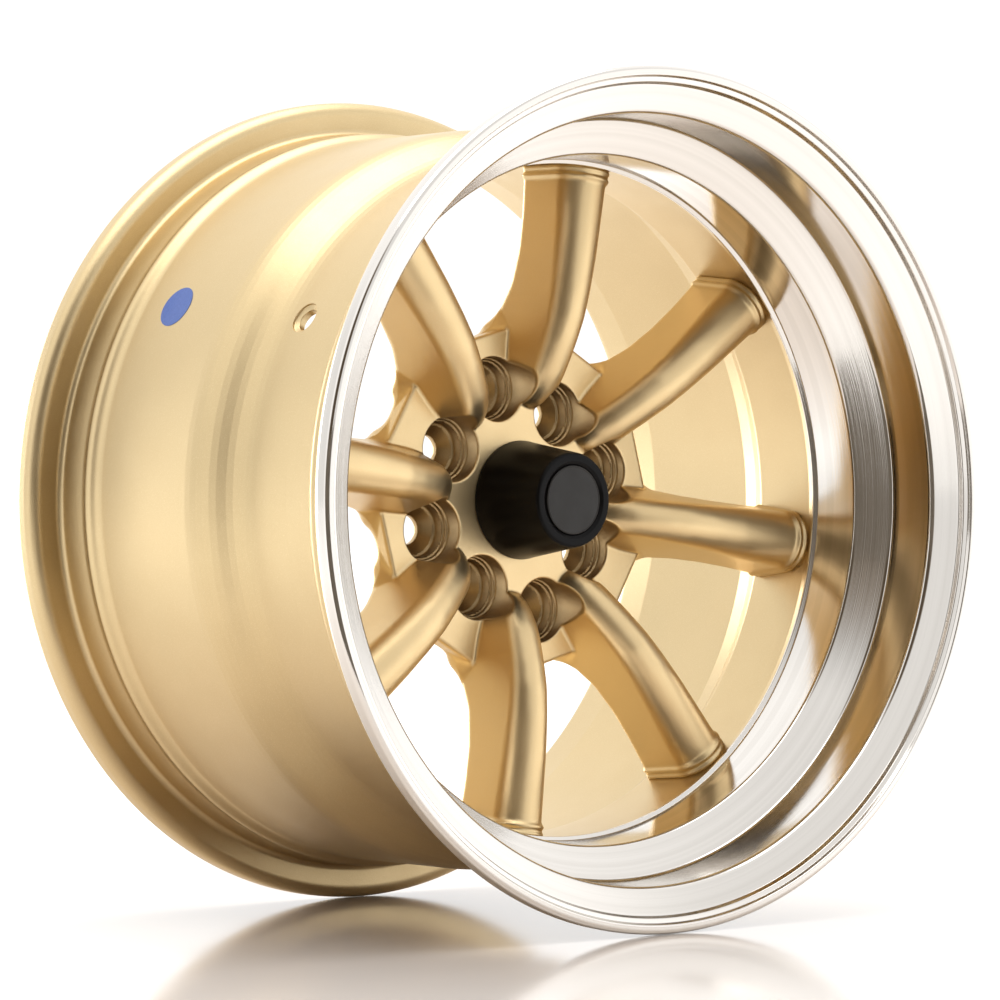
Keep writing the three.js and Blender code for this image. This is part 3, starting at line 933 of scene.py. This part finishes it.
def studio():
    """A pale floor and a white room: brighter behind the wheel and to the right, a little dimmer to the
    left, and dark behind the camera."""
    floor_z = LIP_LOW.z - 0.2
    half = 12000
    corners = [(x * half, y * half, floor_z) for x, y in ((-1, -1), (1, -1), (1, 1), (-1, 1))]
    floor = mesh_object("floor", corners, [(0, 1, 2, 3)])
    floor.data.materials.append(floor_surface())

    world = bpy.data.worlds.new("studio")
    bpy.context.scene.world = world
    world.use_nodes = True
    nodes, links = world.node_tree.nodes, world.node_tree.links
    way = nodes.new("ShaderNodeTexCoord").outputs["Generated"]
    squashed = nodes.new("ShaderNodeVectorMath")
    squashed.operation = "MULTIPLY"
    links.new(way, squashed.inputs[0])
    squashed.inputs[1].default_value = (1, 1, 0.6)
    level = nodes.new("ShaderNodeVectorMath")
    level.operation = "NORMALIZE"
    links.new(squashed.outputs[0], level.inputs[0])

    def towards(target, low, high, at_low, at_high, way=way):
        """A value that eases from at_low to at_high as the cosine of a direction's angle to the target goes
        from low to high."""
        dot = nodes.new("ShaderNodeVectorMath")
        dot.operation = "DOT_PRODUCT"
        links.new(way, dot.inputs[0])
        dot.inputs[1].default_value = Vector(target).normalized()
        step = nodes.new("ShaderNodeMapRange")
        step.interpolation_type = "SMOOTHSTEP"
        links.new(dot.outputs["Value"], step.inputs["Value"])
        ends = {"From Min": low, "From Max": high, "To Min": at_low, "To Max": at_high}
        for key, number in ends.items():
            step.inputs[key].default_value = number
        return step.outputs["Result"]

    def product(a, b):
        made = nodes.new("ShaderNodeMath")
        made.operation = "MULTIPLY"
        links.new(a, made.inputs[0])
        links.new(b, made.inputs[1])
        return made.outputs[0]

    dark = (math.sin(DARK_AZIMUTH), -math.cos(DARK_AZIMUTH), 0.1)
    front = towards((0, -1, 0), 0.0, 0.8, 1.3, 1.0)
    backdrop = towards((-0.139, 0.990, 0), 0.945, 0.985, 1.0, 6.5)
    right = towards((0.82, -0.57, 0), 0.8, 0.97, 1.0, 1.45)
    left = towards((-0.63, 0.78, 0), 0.7, 0.95, 1.0, 0.81)
    shade = towards(dark, 0.79, 0.94, 1.0, 0.10, level.outputs[0])
    strength = product(product(product(front, backdrop), product(left, right)), shade)
    dim = nodes["Background"]
    links.new(strength, dim.inputs["Strength"])
    tint = nodes.new("ShaderNodeMix")
    tint.data_type = "RGBA"
    links.new(towards(dark, 0.84, 0.93, 0.0, 1.0, level.outputs[0]), tint.inputs["Factor"])
    ends = [slot for slot in tint.inputs if slot.type == "RGBA"]
    ends[0].default_value = (1, 1, 1, 1)
    ends[1].default_value = (1, 0.77, 0.54, 1)
    links.new(next(slot for slot in tint.outputs if slot.type == "RGBA"), dim.inputs["Color"])
    white = nodes.new("ShaderNodeBackground")
    white.inputs["Color"].default_value = (1, 1, 1, 1)
    white.inputs["Strength"].default_value = 1.1
    choice = nodes.new("ShaderNodeMixShader")
    links.new(nodes.new("ShaderNodeLightPath").outputs["Is Camera Ray"], choice.inputs["Fac"])
    links.new(dim.outputs[0], choice.inputs[1])
    links.new(white.outputs[0], choice.inputs[2])
    links.new(choice.outputs[0], nodes["World Output"].inputs["Surface"])

    softbox("top", azimuth=0, elevation=88, distance=3.0, width=3.0, height=3.0, power=60)
    flag()
    bpy.context.scene.view_settings.view_transform = "Standard"


def finish_piece(piece, body, slot, material, *nodes):
    """Gives a piece its material and its body, and hides the CAD nodes that it stands for. The slot is not
    used.
    """
    piece.data.materials.clear()
    piece.data.materials.append(material)
    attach(piece, body)
    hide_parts(*nodes)


def paint_tyre_side(lip, gold):
    """The lip's tyre side is painted like the barrel, up to the flange's outer edge."""
    past_inner_wall = INNER_WALL_RADIUS + 1.9
    past_outer_wall = OUTER_WALL_RADIUS + 2.4
    paint_end_y = -HALF_WIDTH + 8
    lean = 0.3
    lip.data.materials.append(gold)
    for face in lip.data.polygons:
        c = face.center / MM
        r = math.hypot(c.x, c.z)
        n = face.normal
        outward = (n.x * c.x + n.z * c.z) / r
        tyre_side = r > past_inner_wall and (outward > lean or n.y > lean) and c.y > paint_end_y
        if tyre_side and not (r < past_outer_wall and outward < 0):
            face.material_index = 1


studio_camera()
studio()

gold = gold_paint()
lip = outer_lip()
finish_piece(lip, "wheel", "machined_lip", turned_metal(), "outer_lip")
paint_tyre_side(lip, gold)
finish_piece(rim_barrel(), "wheel", "gold_paint", gold, "rim_barrel")
casting = [zone % (i + 1) for zone in ("hub_sector_%d", "spoke_%d") for i in range(SPOKES)]
finish_piece(wheel_centre(), "wheel", "gold_paint", gold, *casting)
finish_piece(balance_dot(), "wheel", "blue_label", printed_paper(), "balance_dot")
finish_piece(cap_shell(), "cap", "black_cap", black_plastic(), "cap_shell")
finish_piece(cap_badge(), "cap", "badge", badge_plastic(), "cap_badge")
finish_piece(cap_spring_ring(), "cap", "spring_steel", spring_steel(), "cap_spring_ring")
